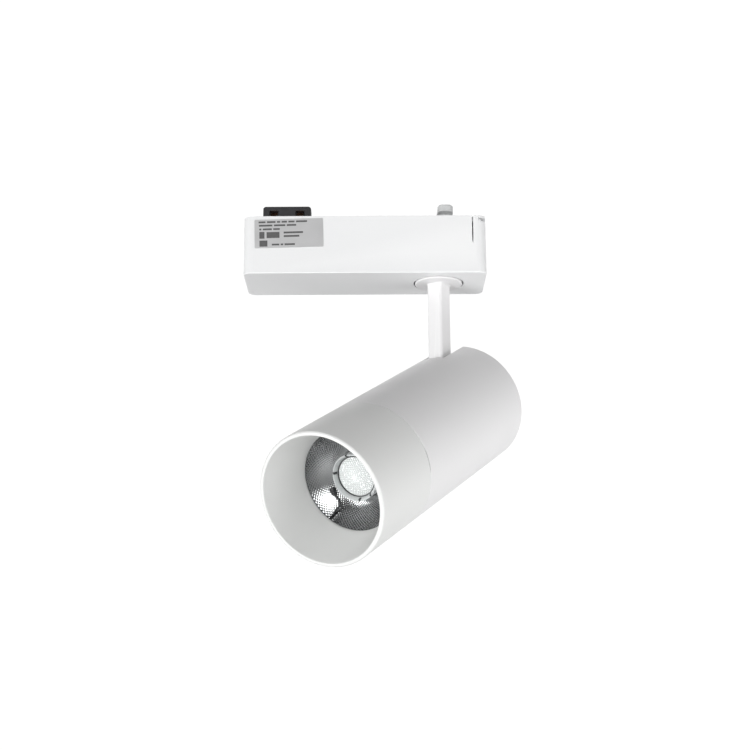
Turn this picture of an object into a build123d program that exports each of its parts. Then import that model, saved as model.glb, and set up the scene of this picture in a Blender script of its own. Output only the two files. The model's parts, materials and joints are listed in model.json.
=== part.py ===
from build123d import *
import os
from math import cos, hypot, radians, sin, tan

# Track spotlight: a driver box with a track adapter, a pan-and-tilt stem and a round lamp head.
# Millimetres and degrees. The origin is the middle of the land that rests against the track.
# +X runs along the track and +Z points up, into the track.

os.makedirs("parts", exist_ok=True)

# Adapter box
HOUSING_LENGTH = 118.5
HOUSING_WIDTH = 35.0
HOUSING_HEIGHT = 29.4
HOUSING_CORNER = 4.1
WALL = 2.0
LAND_RISE = 0.8
COVER_THICKNESS = 2.4
COVER_POST_RADIUS = 2.7
UNDERSIDE_ROUND = 0.5
SLIT_DEPTH = 14.4
LABEL_LENGTH = 33.5
LABEL_HEIGHT = 14.8
LABEL_TURN = 1.4

# Swivel and stem
PAN_X = 36.3
SWIVEL_HOLE_RADIUS = 12.4
DISC_RADIUS = 11.6
DISC_PROUD = 0.8
STEM_THICKNESS = 8.2
STEM_WIDTH = 9.8
STEM_CORNER = 1.6
PIVOT_DROP = 69.9
PAN_ANGLE = 57.45
TILT_ANGLE = 27.48

# Lamp head, with stations along its axis measured forward from the tilt pin
HEAD_RADIUS = 30.0
HEAD_WALL = 2.0
REAR_END = -29.8
SEAM = 71.2
SEAM_GAP = 0.3
FRONT_END = 115.0
COVER_SEAT = 88.7
RECESS_FRONT_RADIUS = 28.1
RECESS_BACK_RADIUS = 23.0
RECESS_BACK = 90.5
STEM_SLOT_HALF = 6.25
STEM_SLOT_FRONT = -7.5

# Optic
LENS_RADIUS = 9.0
DOME_TOP = 86.3
DOME_RISE = 2.6
LEAD_ANGLE = 225.0
LEAD_RADIUS = 20.5
CONNECTOR_PLACE = (-12.9, -4.4, 0)
CONNECTOR_TURN = -4.0

# Fits
RUNNING = 0.06
EASE = 0.15
FACE_GAP = 0.05

# Track lock
LOCK_X = 40.0
LOCK_SHAFT_RADIUS = 4.0
NIB_X = -39.0

# Levels worked out from the sizes above
RIM_Z = -LAND_RISE
BOTTOM_Z = RIM_Z - HOUSING_HEIGHT
FLOOR_Z = BOTTOM_Z + WALL
COVER_UNDERSIDE = RIM_Z - COVER_THICKNESS
PIVOT_Z = BOTTOM_Z - PIVOT_DROP
DISC_BOTTOM = BOTTOM_Z - DISC_PROUD
DISC_TOP = FLOOR_Z + 2.2
PLATE_BOTTOM = DISC_TOP + 0.8
PLATE_TOP = PLATE_BOTTOM + 2.0
NIPPLE_RADIUS = 5.0
NIPPLE_TOP = PLATE_TOP + 7.6
BOARD_BOTTOM = FLOOR_Z + 5.3
BOARD_TOP = BOARD_BOTTOM + 1.6
HEAD_BORE = HEAD_RADIUS - HEAD_WALL
SINK_FACE = 60.0
SINK_BACK = 54.0
EAR_GAP = STEM_THICKNESS / 2 + 0.9
EAR_THICKNESS = 2.5

COVER_SCREWS = [(x, y) for x in (-52.0, 17.8) for y in (-11.0, 11.0)]
BOARD_SCREWS = [(-52.8, -4.2), (11.0, -11.0), (11.0, 11.0)]
PLATE_SCREWS = [(PAN_X + x, y) for x in (-12.5, 12.5) for y in (-12.0, 12.0)]
# The stop washer's tab points the way the head does, so the pan stops evenly about the box's length.
TAB_HEADING = -90.0
CAP_SCREW_ANGLES = (195.0, 270.0, 345.0)
CAP_SCREW_RADIUS = 25.0

pan = radians(PAN_ANGLE)
tilt = radians(TILT_ANGLE)
hinge_line = (sin(pan), -cos(pan), 0)
aim = (-cos(pan) * cos(tilt), -sin(pan) * cos(tilt), -sin(tilt))
ADAPTER = Location((0, 0, 0))
SWIVEL = Plane(origin=(PAN_X, 0, 0), x_dir=hinge_line, z_dir=(0, 0, 1)).location
HEAD = Plane(origin=(PAN_X, 0, PIVOT_Z), x_dir=hinge_line, z_dir=aim).location


# ---- Shapes that several pieces share ----

def block(x0, x1, y0, y1, z0, z1):
    """A rectangular block between two corners."""
    centre = Pos((x0 + x1) / 2, (y0 + y1) / 2, (z0 + z1) / 2)
    return centre * Box(x1 - x0, y1 - y0, z1 - z0)


def rod(radius, z0, z1, x=0.0, y=0.0):
    """A round bar along Z."""
    return Pos(x, y, (z0 + z1) / 2) * Cylinder(radius, z1 - z0)


def ring(outer, inner, z0, z1, x=0.0, y=0.0):
    """A washer or tube along Z."""
    return rod(outer, z0, z1, x, y) - rod(inner, z0 - 1, z1 + 1, x, y)


def cross_rod(radius, x0, x1, y=0.0, z=0.0):
    """A round bar along X."""
    return Pos((x0 + x1) / 2, y, z) * Rot(0, 90, 0) * Cylinder(radius, x1 - x0)


def slab(length, width, corner, z0, z1):
    """A plate with rounded corners, centred on Z."""
    return extrude(Pos(0, 0, z0) * RectangleRounded(length, width, corner), z1 - z0)


def slab_at(x, length, width, corner, z0, z1):
    """A plate with rounded corners, centred at x."""
    return Pos(x, 0, 0) * slab(length, width, corner, z0, z1)


def turned(points):
    """A solid of revolution about Z from (radius, station) points."""
    outline = Polyline(*[(radius, 0, station) for radius, station in points], close=True)
    return revolve(make_face(outline), Axis.Z)


def on_circle(radius, angle):
    """The point at an angle, in degrees, on a circle about Z."""
    return radius * cos(radians(angle)), radius * sin(radians(angle))


def cap_screw(x, y, seat, shank_length, shank, head, head_height):
    """A round-headed screw with a cross recess, its head above seat and its shank below."""
    top = seat + head_height
    screw = rod(head, seat, top, x, y) + rod(shank, seat - shank_length, seat, x, y)
    screw -= block(x - head * 0.6, x + head * 0.6, y - 0.3, y + 0.3, top - 0.6, top + 1)
    screw -= block(x - 0.3, x + 0.3, y - head * 0.6, y + head * 0.6, top - 0.6, top + 1)
    return screw


def lead(points, radius):
    """A round wire along straight runs that large arcs join."""
    runs = [Vector(*b) - Vector(*a) for a, b in zip(points, points[1:])]
    bends = []
    for before, after in zip(runs, runs[1:]):
        half_turn = radians(before.get_angle(after)) / 2
        bends.append(0.45 * min(before.length, after.length) / tan(half_turn))
    path = FilletPolyline(*points, radius=bends)
    print("lead bends", [round(bend, 1) for bend in bends])
    section = Plane(origin=path @ 0, z_dir=path % 0) * Circle(radius)
    return sweep(section, path=path)


def save(name, solids, frame=ADAPTER):
    """Write one node, moved from its own frame to the object's."""
    pieces = [frame * solid for solid in solids]
    node = pieces[0] if len(pieces) == 1 else Compound(pieces)
    export_step(node, f"parts/{name}.step")


# ---- Adapter box ----

def adapter_housing():
    """The open-topped box, with screw posts, the swivel collar and the lock lever's slot."""
    inside = (HOUSING_LENGTH - 2 * WALL, HOUSING_WIDTH - 2 * WALL, HOUSING_CORNER - WALL)
    half_inside = HOUSING_WIDTH / 2 - WALL
    shell = slab(HOUSING_LENGTH, HOUSING_WIDTH, HOUSING_CORNER, BOTTOM_Z, RIM_Z)
    shell = fillet(shell.faces().sort_by(Axis.Z)[0].edges(), UNDERSIDE_ROUND)
    shell -= slab(*inside, FLOOR_Z, RIM_Z + 1)
    shell += rod(SWIVEL_HOLE_RADIUS + 2.4, FLOOR_Z - 1, PLATE_BOTTOM, PAN_X)
    for x, y in COVER_SCREWS:
        shell += rod(COVER_POST_RADIUS, FLOOR_Z - 1, COVER_UNDERSIDE, x, y)
        reach = sorted((y, half_inside + 0.5 if y > 0 else -half_inside - 0.5))
        shell += block(x - 1.2, x + 1.2, *reach, FLOOR_Z - 1, COVER_UNDERSIDE)
        shell -= rod(1.3, COVER_UNDERSIDE - 12, COVER_UNDERSIDE + 1, x, y)
    for x, y in BOARD_SCREWS:
        shell += rod(2.6, FLOOR_Z - 1, BOARD_BOTTOM, x, y)
        shell -= rod(1.3, FLOOR_Z, BOARD_BOTTOM + 1, x, y)
    for x, y in PLATE_SCREWS:
        shell += rod(2.6, FLOOR_Z - 1, PLATE_BOTTOM, x, y)
        shell -= rod(1.3, FLOOR_Z - 0.6, PLATE_BOTTOM + 1, x, y)
    shell -= rod(SWIVEL_HOLE_RADIUS, BOTTOM_Z - 1, PLATE_BOTTOM + 1, PAN_X)
    shell -= relief_slit()
    shell -= lever_slot()
    return [shell]


def relief_slit():
    """The narrow slit that lets the end of the front wall flex over the cover's snap."""
    slit_x = HOUSING_LENGTH / 2 - 6.6
    front = -HOUSING_WIDTH / 2
    return block(slit_x - 0.3, slit_x + 0.3, front - 1, front + WALL + 1, RIM_Z - SLIT_DEPTH, RIM_Z + 1)


def lever_slot():
    """The slot round the end wall and the rear wall in which the lock lever swings."""
    end = HOUSING_LENGTH / 2
    side = HOUSING_WIDTH / 2
    slot = block(end - 3.9, end + 1, -side - 1, side + 1, RIM_Z - 2.9, RIM_Z - 1.0)
    return slot + block(LOCK_X - 4.5, end, side - WALL - 1, side + 1, RIM_Z - 2.9, RIM_Z - 1.0)


def top_cover():
    """The lid, with the raised land that meets the track and the pocket for the lock lever."""
    length = HOUSING_LENGTH - 2 * WALL - 2 * EASE
    width = HOUSING_WIDTH - 2 * WALL - 2 * EASE
    lid = slab(length, width, HOUSING_CORNER - WALL, COVER_UNDERSIDE, RIM_Z)
    lid += slab(44.0, 26.0, 3.0, RIM_Z - 0.5, 0.0)
    lid -= rod(LOCK_SHAFT_RADIUS + RUNNING, COVER_UNDERSIDE - 1, RIM_Z + 1, LOCK_X)
    lid -= block(LOCK_X - 5.6, length, -6.0, width, COVER_UNDERSIDE - 1, RIM_Z - 0.9)
    lid -= slab_at(NIB_X, 24.0 + 2 * EASE, 9.0 + 2 * EASE, 1.5, COVER_UNDERSIDE - 1, RIM_Z + 1)
    for x, y in COVER_SCREWS:
        lid -= rod(1.5, COVER_UNDERSIDE - 1, RIM_Z + 1, x, y)
        lid -= rod(2.7, RIM_Z - 1.3, RIM_Z + 1, x, y)
    tongue_face = -width / 2
    lid += block(45.5, 50.5, tongue_face, tongue_face + 1.3, COVER_UNDERSIDE - 9, COVER_UNDERSIDE + 1)
    return [lid]


def cover_screws():
    """Four pan-head screws that hold the lid."""
    return [cap_screw(x, y, RIM_Z - 1.3, 11.0, 1.25, 2.5, 1.2) for x, y in COVER_SCREWS]


def contact_nib():
    """The insulating tongue that enters the track and carries the contacts."""
    nib = slab_at(NIB_X, 24.0, 9.0, 1.5, COVER_UNDERSIDE - 2.2, 9.6)
    nib += slab_at(NIB_X, 28.0, 12.6, 2.0, COVER_UNDERSIDE - 2.2, COVER_UNDERSIDE - FACE_GAP)
    nib = chamfer(nib.faces().sort_by(Axis.Z)[-1].edges(), 0.8)
    for side, x in ((-1, NIB_X - 6.5), (1, NIB_X), (-1, NIB_X + 6.5)):
        y_faces = sorted((side * 0.9, side * 8.0))
        nib -= block(x - 2.2, x + 2.2, *y_faces, COVER_UNDERSIDE - 4, 7.2)
    return [nib]


def contact(x, side):
    """A bent copper blade that bows out of the nib to press on a conductor."""
    outline = [(1.2, -9.5), (1.8, -9.5), (1.8, -0.2), (6.0, 2.6), (6.2, 3.4), (1.8, 6.9), (1.2, 6.9)]
    outline += [(1.2, 6.3), (5.3, 3.2), (1.2, 0.4)]
    profile = make_face(Polyline(*[(0, side * y, z) for y, z in outline], close=True))
    return [Pos(x - 1.7, 0, 0) * extrude(profile, 3.4, dir=(1, 0, 0))]


def rating_label():
    """The thin adhesive label on the front wall, stuck a little askew."""
    front = -HOUSING_WIDTH / 2
    plate = extrude(RectangleRounded(LABEL_LENGTH, LABEL_HEIGHT, 0.6), 0.12)
    return [Pos(-37.1, front - 0.01, RIM_Z - 8.9) * Rot(90, 0, 0) * Rot(0, 0, LABEL_TURN) * plate]


# ---- Driver ----

def driver_board():
    """The circuit board, with screw holes and a corner cut out for each cover post."""
    board = block(-55.5, 14.5, -14.0, 14.0, BOARD_BOTTOM, BOARD_TOP)
    for y in (-11.0, 11.0):
        corner = sorted((y * 0.68, y * 1.4))
        board -= block(-56.0, -48.8, *corner, BOARD_BOTTOM - 1, BOARD_TOP + 1)
    for x, y in BOARD_SCREWS:
        board -= rod(1.6, BOARD_BOTTOM - 1, BOARD_TOP + 1, x, y)
    return [board]


def board_screws():
    """Three screws that hold the board to its posts."""
    return [cap_screw(x, y, BOARD_TOP, 5.5, 1.25, 2.5, 1.5) for x, y in BOARD_SCREWS]


def transformer_core():
    """The ferrite frame with its centre leg."""
    frame = block(-22.0, 0.0, -4.0, 4.0, BOARD_TOP + 1.5, BOARD_TOP + 16.5)
    return [frame - transformer_window(-19.0, -14.0) - transformer_window(-8.0, -3.0)]


def transformer_window(x0, x1):
    """One of the two openings that the winding passes through."""
    return block(x0, x1, -5.0, 5.0, BOARD_TOP + 4.5, BOARD_TOP + 13.5)


def transformer_winding():
    """The taped winding about the centre leg, on its bobbin feet."""
    low = BOARD_TOP + 4.7
    winding = slab_at(-11.0, 15.4, 17.0, 3.0, low, low + 8.6)
    winding -= block(-14.1, -7.9, -4.1, 4.1, low - 1, low + 10)
    for x in (-16.0, -6.0):
        for y in (-6.5, 6.5):
            winding += block(x - 1.5, x + 1.5, y - 1.0, y + 1.0, BOARD_TOP, low)
    return [winding]


def input_capacitor():
    """The boxed film capacitor across the supply."""
    box = block(-46.5, -33.5, 6.0, 12.0, BOARD_TOP, BOARD_TOP + 12.0)
    return [fillet(box.edges().filter_by(Axis.Z), 0.8)]


def can(x, y, radius, height):
    """An aluminium can capacitor with its rolled groove."""
    top = BOARD_TOP + height
    points = [(0, BOARD_TOP), (radius, BOARD_TOP), (radius, BOARD_TOP + 2.2), (radius - 0.4, BOARD_TOP + 2.7)]
    points += [(radius, BOARD_TOP + 3.2), (radius, top - 0.5), (radius - 0.5, top), (0, top)]
    return [Pos(x, y, 0) * turned(points)]


def filter_choke():
    """The drum-core choke."""
    low = BOARD_TOP
    points = [(0, low), (5.0, low), (5.0, low + 1.5), (4.0, low + 1.5), (4.0, low + 9.5), (5.0, low + 9.5)]
    points += [(5.0, low + 11.0), (0, low + 11.0)]
    return [Pos(-42.0, -8.0, 0) * turned(points)]


def bridge_rectifier():
    """The four-pin rectifier block."""
    body = block(-29.5, -24.5, 4.0, 12.0, BOARD_TOP + 0.1, BOARD_TOP + 6.0)
    return [chamfer(body.edges().filter_by(Axis.X)[0], 0.8)]


def fuse():
    """The radial fuse in its sleeve."""
    return [rod(3.0, BOARD_TOP, BOARD_TOP + 7.5, -51.4, 3.4)]


def output_terminal():
    """The two-way terminal that feeds the lamp lead."""
    body = block(7.0, 13.5, -5.0, 5.0, BOARD_TOP, BOARD_TOP + 8.0)
    for y in (-2.5, 2.5):
        body -= rod(1.4, BOARD_TOP + 6.0, BOARD_TOP + 9, 10.0, y)
        body -= cross_rod(1.3, 11.0, 14.5, y, BOARD_TOP + 3.0)
    return [body]


def supply_leads():
    """The three wires from the contacts down to the board."""
    wires = []
    for x, side in ((-6.5, -1), (0.0, 1), (6.5, -1)):
        start = (NIB_X + x, side * 1.5, -9.6)
        landing = NIB_X + x * 0.8
        bend = (NIB_X + x, side * 1.7, -13.0)
        low = (landing, side * 1.9, BOARD_TOP + 4.2)
        wires.append(lead([start, bend, low, (landing, side * 1.6, BOARD_TOP + 0.02)], 0.7))
    return wires


def output_lead():
    """The sheathed pair from the terminal to the mouth of the swivel's hollow nipple."""
    level = BOARD_TOP + 3.0
    mouth = NIPPLE_TOP + 1.2
    points = [(14.0, 0, level), (19.5, 0.5, level + 1.0), (25.0, 1.0, mouth + 1.5), (30.3, 0.6, mouth + 5.2)]
    points += [(35.0, 0.2, mouth + 3.6), (PAN_X, 0, mouth)]
    return [lead(points, 1.3)]


# ---- Swivel ----

def swivel_plate():
    """The steel plate that carries the swivel inside the box."""
    plate = block(PAN_X - 15.3, PAN_X + 15.3, -14.9, 14.9, PLATE_BOTTOM, PLATE_TOP)
    plate = fillet(plate.edges().filter_by(Axis.Z), 2.0)
    plate -= rod(NIPPLE_RADIUS + RUNNING, PLATE_BOTTOM - 1, PLATE_TOP + 1, PAN_X)
    for x, y in PLATE_SCREWS:
        plate -= rod(1.6, PLATE_BOTTOM - 1, PLATE_TOP + 1, x, y)
    peg_x, peg_y = stop_peg_place()
    return [plate - rod(0.9, PLATE_BOTTOM - 1, PLATE_TOP + 1, peg_x, peg_y)]


def stop_peg_place():
    """Where the peg stands, so that the head's pan stops evenly each side of the box's length."""
    x, y = on_circle(10.9, 0.0)
    return PAN_X + x, y


def plate_screws():
    """Four screws that hold the swivel plate to its posts."""
    return [cap_screw(x, y, PLATE_TOP, 5.2, 1.25, 2.6, 1.6) for x, y in PLATE_SCREWS]


def stop_peg():
    """The peg that the stop washer's tab meets at each end of the pan."""
    x, y = stop_peg_place()
    return [rod(0.9, PLATE_BOTTOM + 0.1, PLATE_TOP + 2.2, x, y)]


def stem():
    """The flat bar with its round foot above and its eye below, drilled for the lead."""
    section = Pos(0, 0, PIVOT_Z) * RectangleRounded(STEM_THICKNESS, STEM_WIDTH, STEM_CORNER)
    bar = extrude(section, DISC_TOP - PIVOT_Z)
    foot = rod(DISC_RADIUS, DISC_BOTTOM, DISC_TOP)
    foot = fillet(foot.edges().sort_by(Axis.Z)[0], 0.7)
    body = bar + foot
    root = [edge for edge in body.edges() if is_root_edge(edge)]
    body = fillet(root, 1.0)
    body += cross_rod(6.4, -STEM_THICKNESS / 2, STEM_THICKNESS / 2, 0, PIVOT_Z)
    body -= rod(NIPPLE_RADIUS, DISC_TOP - 3.2, DISC_TOP + 1)
    body -= rod(2.0, PIVOT_Z + 11, DISC_TOP)
    body -= Pos(0, -3.0, PIVOT_Z + 12) * Rot(90, 0, 0) * Cylinder(2.0, 6.0)
    body -= cross_rod(2.5 + RUNNING, -STEM_THICKNESS, STEM_THICKNESS, 0, PIVOT_Z)
    return [body]


def is_root_edge(edge):
    """Whether an edge lies where the bar meets the underside of the foot."""
    middle = edge.center()
    return abs(middle.Z - DISC_BOTTOM) < 0.01 and hypot(middle.X, middle.Y) < DISC_RADIUS - 2


def swivel_nipple():
    """The hollow threaded tube that hangs the stem from the plate."""
    tube = ring(NIPPLE_RADIUS, 3.0, DISC_TOP - 3.2, NIPPLE_TOP)
    return [tube]


def friction_washer():
    """The fibre washer between the foot and the plate."""
    return [ring(10.5, NIPPLE_RADIUS + 0.1, DISC_TOP + FACE_GAP, PLATE_BOTTOM - FACE_GAP)]


def stop_washer():
    """The steel washer whose tab runs round to the stop peg."""
    low = PLATE_TOP + FACE_GAP
    washer = rod(8.4, low, low + 1.2)
    tab = Rot(0, 0, TAB_HEADING) * block(7.0, 11.8, -0.8, 0.8, low, low + 1.2)
    return [washer + tab - rod(NIPPLE_RADIUS + 0.02, low - 1, low + 2)]


def spring_washer():
    """The split washer that keeps the swivel tight."""
    low = PLATE_TOP + FACE_GAP + 1.25
    washer = ring(8.0, NIPPLE_RADIUS + 0.1, low, low + 1.1)
    return [washer - block(0, 9, -0.4, 0.4, low - 1, low + 2)]


def swivel_nut():
    """The thin nut on the hollow tube."""
    low = PLATE_TOP + FACE_GAP + 2.4
    blank = extrude(Pos(0, 0, low) * RegularPolygon(7.5, 6, major_radius=False), 3.0)
    return [blank - rod(NIPPLE_RADIUS + 0.02, low - 1, low + 4)]


def stem_lead():
    """The sheathed pair inside the stem."""
    return [rod(1.3, PIVOT_Z + 11.5, NIPPLE_TOP + 0.4)]


# ---- Track lock ----

def lock_cam():
    """The turning shaft with the cross head that grips the track's lips."""
    shaft = rod(LOCK_SHAFT_RADIUS, COVER_UNDERSIDE - 4.0, 5.2, LOCK_X)
    head = Pos(LOCK_X, 0, 0) * slab(7.6, 17.0, 2.5, 5.0, 8.6)
    head = chamfer(head.faces().sort_by(Axis.Z)[-1].edges(), 0.6)
    collar = rod(5.2, COVER_UNDERSIDE - 4.0, COVER_UNDERSIDE - 2.2, LOCK_X)
    screw_hole = rod(1.3, COVER_UNDERSIDE - 5, COVER_UNDERSIDE + 2, LOCK_X)
    flat = block(LOCK_X - 6, LOCK_X - 3.2, -6, 6, COVER_UNDERSIDE - 5, RIM_Z - 0.95)
    return [shaft + head - screw_hole - flat + collar.cut(screw_hole)]


def lock_lever():
    """The finger lever that turns the cam, its tip just proud of the end wall."""
    low = RIM_Z - 2.65
    high = RIM_Z - 1.2
    reach = HOUSING_LENGTH / 2 + 0.9 - LOCK_X
    lever = rod(5.2, low, high, LOCK_X) + block(LOCK_X, LOCK_X + reach, -3.4, 3.4, low, high)
    lever = fillet(lever.edges().filter_by(Axis.Z).sort_by(Axis.X)[-2:], 1.6)
    bore = rod(LOCK_SHAFT_RADIUS, low - 1, high + 1, LOCK_X)
    return [lever - (bore - block(LOCK_X - 6, LOCK_X - 3.2, -6, 6, low - 2, high + 2))]


def lever_screw():
    """The screw and washer face that hold the lever on the cam."""
    seat = COVER_UNDERSIDE - 4.0
    screw = cap_screw(LOCK_X, 0, -seat, 5.0, 1.25, 3.2, 1.6)
    return [Pos(2 * LOCK_X, 0, 0) * Rot(0, 180, 0) * screw]


# ---- Lamp head, in its own frame: X along the tilt pin, Y to the top, Z forward ----

def rear_housing():
    """The die-cast rear tube with the stem's slot, the heatsink's ledge and the cap's bosses."""
    outline = [(HEAD_BORE, REAR_END), (HEAD_RADIUS - 0.7, REAR_END), (HEAD_RADIUS, REAR_END + 0.7)]
    outline += [(HEAD_RADIUS, SEAM - 0.25), (HEAD_RADIUS - 0.25, SEAM), (HEAD_BORE, SEAM)]
    outline += [(HEAD_BORE, SINK_BACK), (HEAD_BORE - 1.6, SINK_BACK), (HEAD_BORE - 1.6, SINK_BACK - 2.0)]
    outline += [(HEAD_BORE, SINK_BACK - 3.6)]
    tube = turned(outline)
    for angle in CAP_SCREW_ANGLES:
        x, y = on_circle(CAP_SCREW_RADIUS, angle)
        tube += rod(3.4, REAR_END + 3.1, REAR_END + 13, x, y)
        tube -= rod(1.3, REAR_END + 3, REAR_END + 12, x, y)
    opening = block(-STEM_SLOT_HALF, STEM_SLOT_HALF, 5, HEAD_RADIUS + 2, REAR_END - 1, STEM_SLOT_FRONT)
    return [tube - opening]


def rear_cap():
    """The disc that closes the rear, cut away where the stem swings."""
    cap = rod(HEAD_BORE - EASE, REAR_END + 0.5, REAR_END + 3.0)
    cap = chamfer(cap.edges().sort_by(Axis.Z)[0], 0.4)
    cap -= block(-STEM_SLOT_HALF, STEM_SLOT_HALF, -0.8, HEAD_RADIUS, REAR_END - 1, REAR_END + 5)
    cap -= rod(STEM_SLOT_HALF, REAR_END - 1, REAR_END + 5, 0, -0.8)
    for angle in CAP_SCREW_ANGLES:
        x, y = on_circle(CAP_SCREW_RADIUS, angle)
        cap -= rod(1.5, REAR_END - 1, REAR_END + 5, x, y)
    return [cap]


def cap_screws():
    """Three screws that hold the rear cap."""
    screws = []
    for angle in CAP_SCREW_ANGLES:
        x, y = on_circle(CAP_SCREW_RADIUS, angle)
        screw = cap_screw(-x, y, -(REAR_END + 0.5), 8.0, 1.25, 2.3, 1.2)
        screws.append(Rot(0, 180, 0) * screw)
    return screws


def heatsink():
    """The turned disc with a core and radial fins behind it."""
    sink = rod(HEAD_BORE - EASE, SINK_BACK, SINK_FACE) + rod(11.0, 21.6, SINK_BACK + 1)
    for step in range(16):
        fin = block(9.0, 25.6, -0.7, 0.7, 25.0, SINK_BACK + 1)
        sink += Rot(0, 0, 11.25 + 22.5 * step) * fin
    for x in (-14.0, 14.0):
        sink -= rod(1.3, SINK_BACK - 1, SINK_FACE + 1, x, 0)
    for y in (-5.5, 5.5):
        sink -= rod(1.3, 20, 32.0, 0, y)
    sink -= rod(1.4, SINK_BACK - 1, SINK_FACE + 1, *on_circle(LEAD_RADIUS, LEAD_ANGLE))
    return [sink]


def yoke():
    """The folded bracket whose ears hold the tilt pin each side of the stem's eye."""
    outer = EAR_GAP + EAR_THICKNESS
    base = block(-outer, outer, -9.0, 9.0, 18.6, 21.5)
    ears = cross_rod(8.0, -outer, outer) + block(-outer, outer, -8.0, 8.0, 0, 19.0)
    ears -= block(-EAR_GAP, EAR_GAP, -12, 12, -12, 18.6)
    bracket = base + ears
    bracket -= cross_rod(2.55, -20, 20)
    for y in (-5.5, 5.5):
        bracket -= rod(1.6, 17, 23, 0, y)
    return [bracket]


def yoke_screws():
    """Two screws that hold the yoke to the heatsink's core."""
    screws = [cap_screw(0, y, -18.6, 11.0, 1.25, 2.6, 1.6) for y in (-5.5, 5.5)]
    return [Rot(0, 180, 0) * screw for screw in screws]


def pivot_bolt():
    """The tilt pin: a bolt with a hexagon socket."""
    outer = EAR_GAP + EAR_THICKNESS
    bolt = cross_rod(2.5, -outer - 5.2, outer) + cross_rod(4.4, outer, outer + 3.0)
    socket = extrude(RegularPolygon(1.5, 6, major_radius=False), 1.8)
    return [bolt - Pos(outer + 1.3, 0, 0) * Rot(0, 90, 0) * socket]


def pivot_nut():
    """The nut that sets how stiffly the head tilts."""
    outer = EAR_GAP + EAR_THICKNESS
    blank = extrude(RegularPolygon(4.0, 6, major_radius=False), 3.6)
    nut = Pos(-outer - 4.8, 0, 0) * Rot(0, 90, 0) * blank
    return [nut - cross_rod(2.52, -outer - 6, -outer)]


def pivot_washers():
    """A friction washer each side of the eye and a spring washer under the nut."""
    outer = EAR_GAP + EAR_THICKNESS
    near = STEM_THICKNESS / 2 + FACE_GAP
    far = EAR_GAP - FACE_GAP
    spans = [(near, far), (-far, -near), (-outer - 1.1, -outer - FACE_GAP)]
    return [cross_rod(5.6, *span) - cross_rod(2.6, -20, 20) for span in spans]


def thermal_pad():
    """The soft pad between the light engine and the heatsink."""
    return [block(-12.0, 12.0, -12.0, 12.0, SINK_FACE, SINK_FACE + 0.3)]


def led_board():
    """The square metal-core board, with its corners cut."""
    board = block(-12.0, 12.0, -12.0, 12.0, SINK_FACE + 0.3, SINK_FACE + 1.5)
    return [chamfer(board.edges().filter_by(Axis.Z), 2.5)]


def led_emitter():
    """The round light-emitting disc inside its dam."""
    return [rod(7.0, SINK_FACE + 1.5, SINK_FACE + 2.2)]


def led_holder():
    """The clamp plate that presses the board down."""
    plate = slab(34.0, 25.6, 7.0, SINK_FACE + 1.5, SINK_FACE + 3.2) - rod(10.95, SINK_FACE, SINK_FACE + 4)
    for x in (-14.0, 14.0):
        plate -= rod(1.6, SINK_FACE, SINK_FACE + 4, x, 0)
    return [plate]


def holder_screws():
    """Two screws that hold the clamp plate."""
    return [cap_screw(x, 0, SINK_FACE + 3.2, 8.0, 1.25, 2.4, 1.4) for x in (-14.0, 14.0)]


def lens_barrel():
    """The round bezel about the central lens, with a flared mouth."""
    points = [(9.2, SINK_FACE + 2.3), (10.8, SINK_FACE + 2.3), (10.8, 85.8), (10.5, 86.1)]
    points += [(10.2, 86.1), (9.2, 83.9)]
    return [turned(points)]


def lens():
    """The central moulded lens, with a domed front."""
    back = SINK_FACE + 3.0
    ball_radius = (LENS_RADIUS ** 2 + DOME_RISE ** 2) / (2 * DOME_RISE)
    points = [(0, back + 3.0), (5.5, back), (LENS_RADIUS, 70.0), (LENS_RADIUS, DOME_TOP + 1)]
    body = turned(points + [(0, DOME_TOP + 1)])
    return [body & Pos(0, 0, DOME_TOP - ball_radius) * Sphere(ball_radius)]


def reflector():
    """The dish about the bezel, with a rim flange that is notched for the lead."""
    inner = ThreePointArc((23.7, 0, 87.5), (17.6, 0, 82.6), (11.2, 0, 79.0))
    outer = ThreePointArc((12.0, 0, 77.8), (18.4, 0, 81.5), (24.6, 0, 86.2))
    edges = [inner, Line((11.2, 0, 79.0), (12.0, 0, 77.8)), outer]
    edges += [Line((24.6, 0, 86.2), (26.2, 0, 86.2)), Line((26.2, 0, 86.2), (26.2, 0, 87.5))]
    edges += [Line((26.2, 0, 87.5), (23.7, 0, 87.5))]
    dish = revolve(make_face(edges), Axis.Z)
    notch = Rot(0, 0, LEAD_ANGLE) * block(21.3, 28.0, -0.7, 0.7, 82.0, 89.0)
    return [dish - notch]


def clear_cover():
    """The clear disc that closes the optic."""
    disc = rod(26.6, 87.6, 88.6)
    return [disc]


def lens_holder():
    """The tube that presses the reflector's flange forward."""
    tube = ring(26.2, 25.2, SINK_FACE + 0.1, 86.1)
    notch = Rot(0, 0, LEAD_ANGLE) * block(22.0, 28.0, -1.2, 1.2, 79.5, 87.0)
    return [tube - notch]


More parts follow.
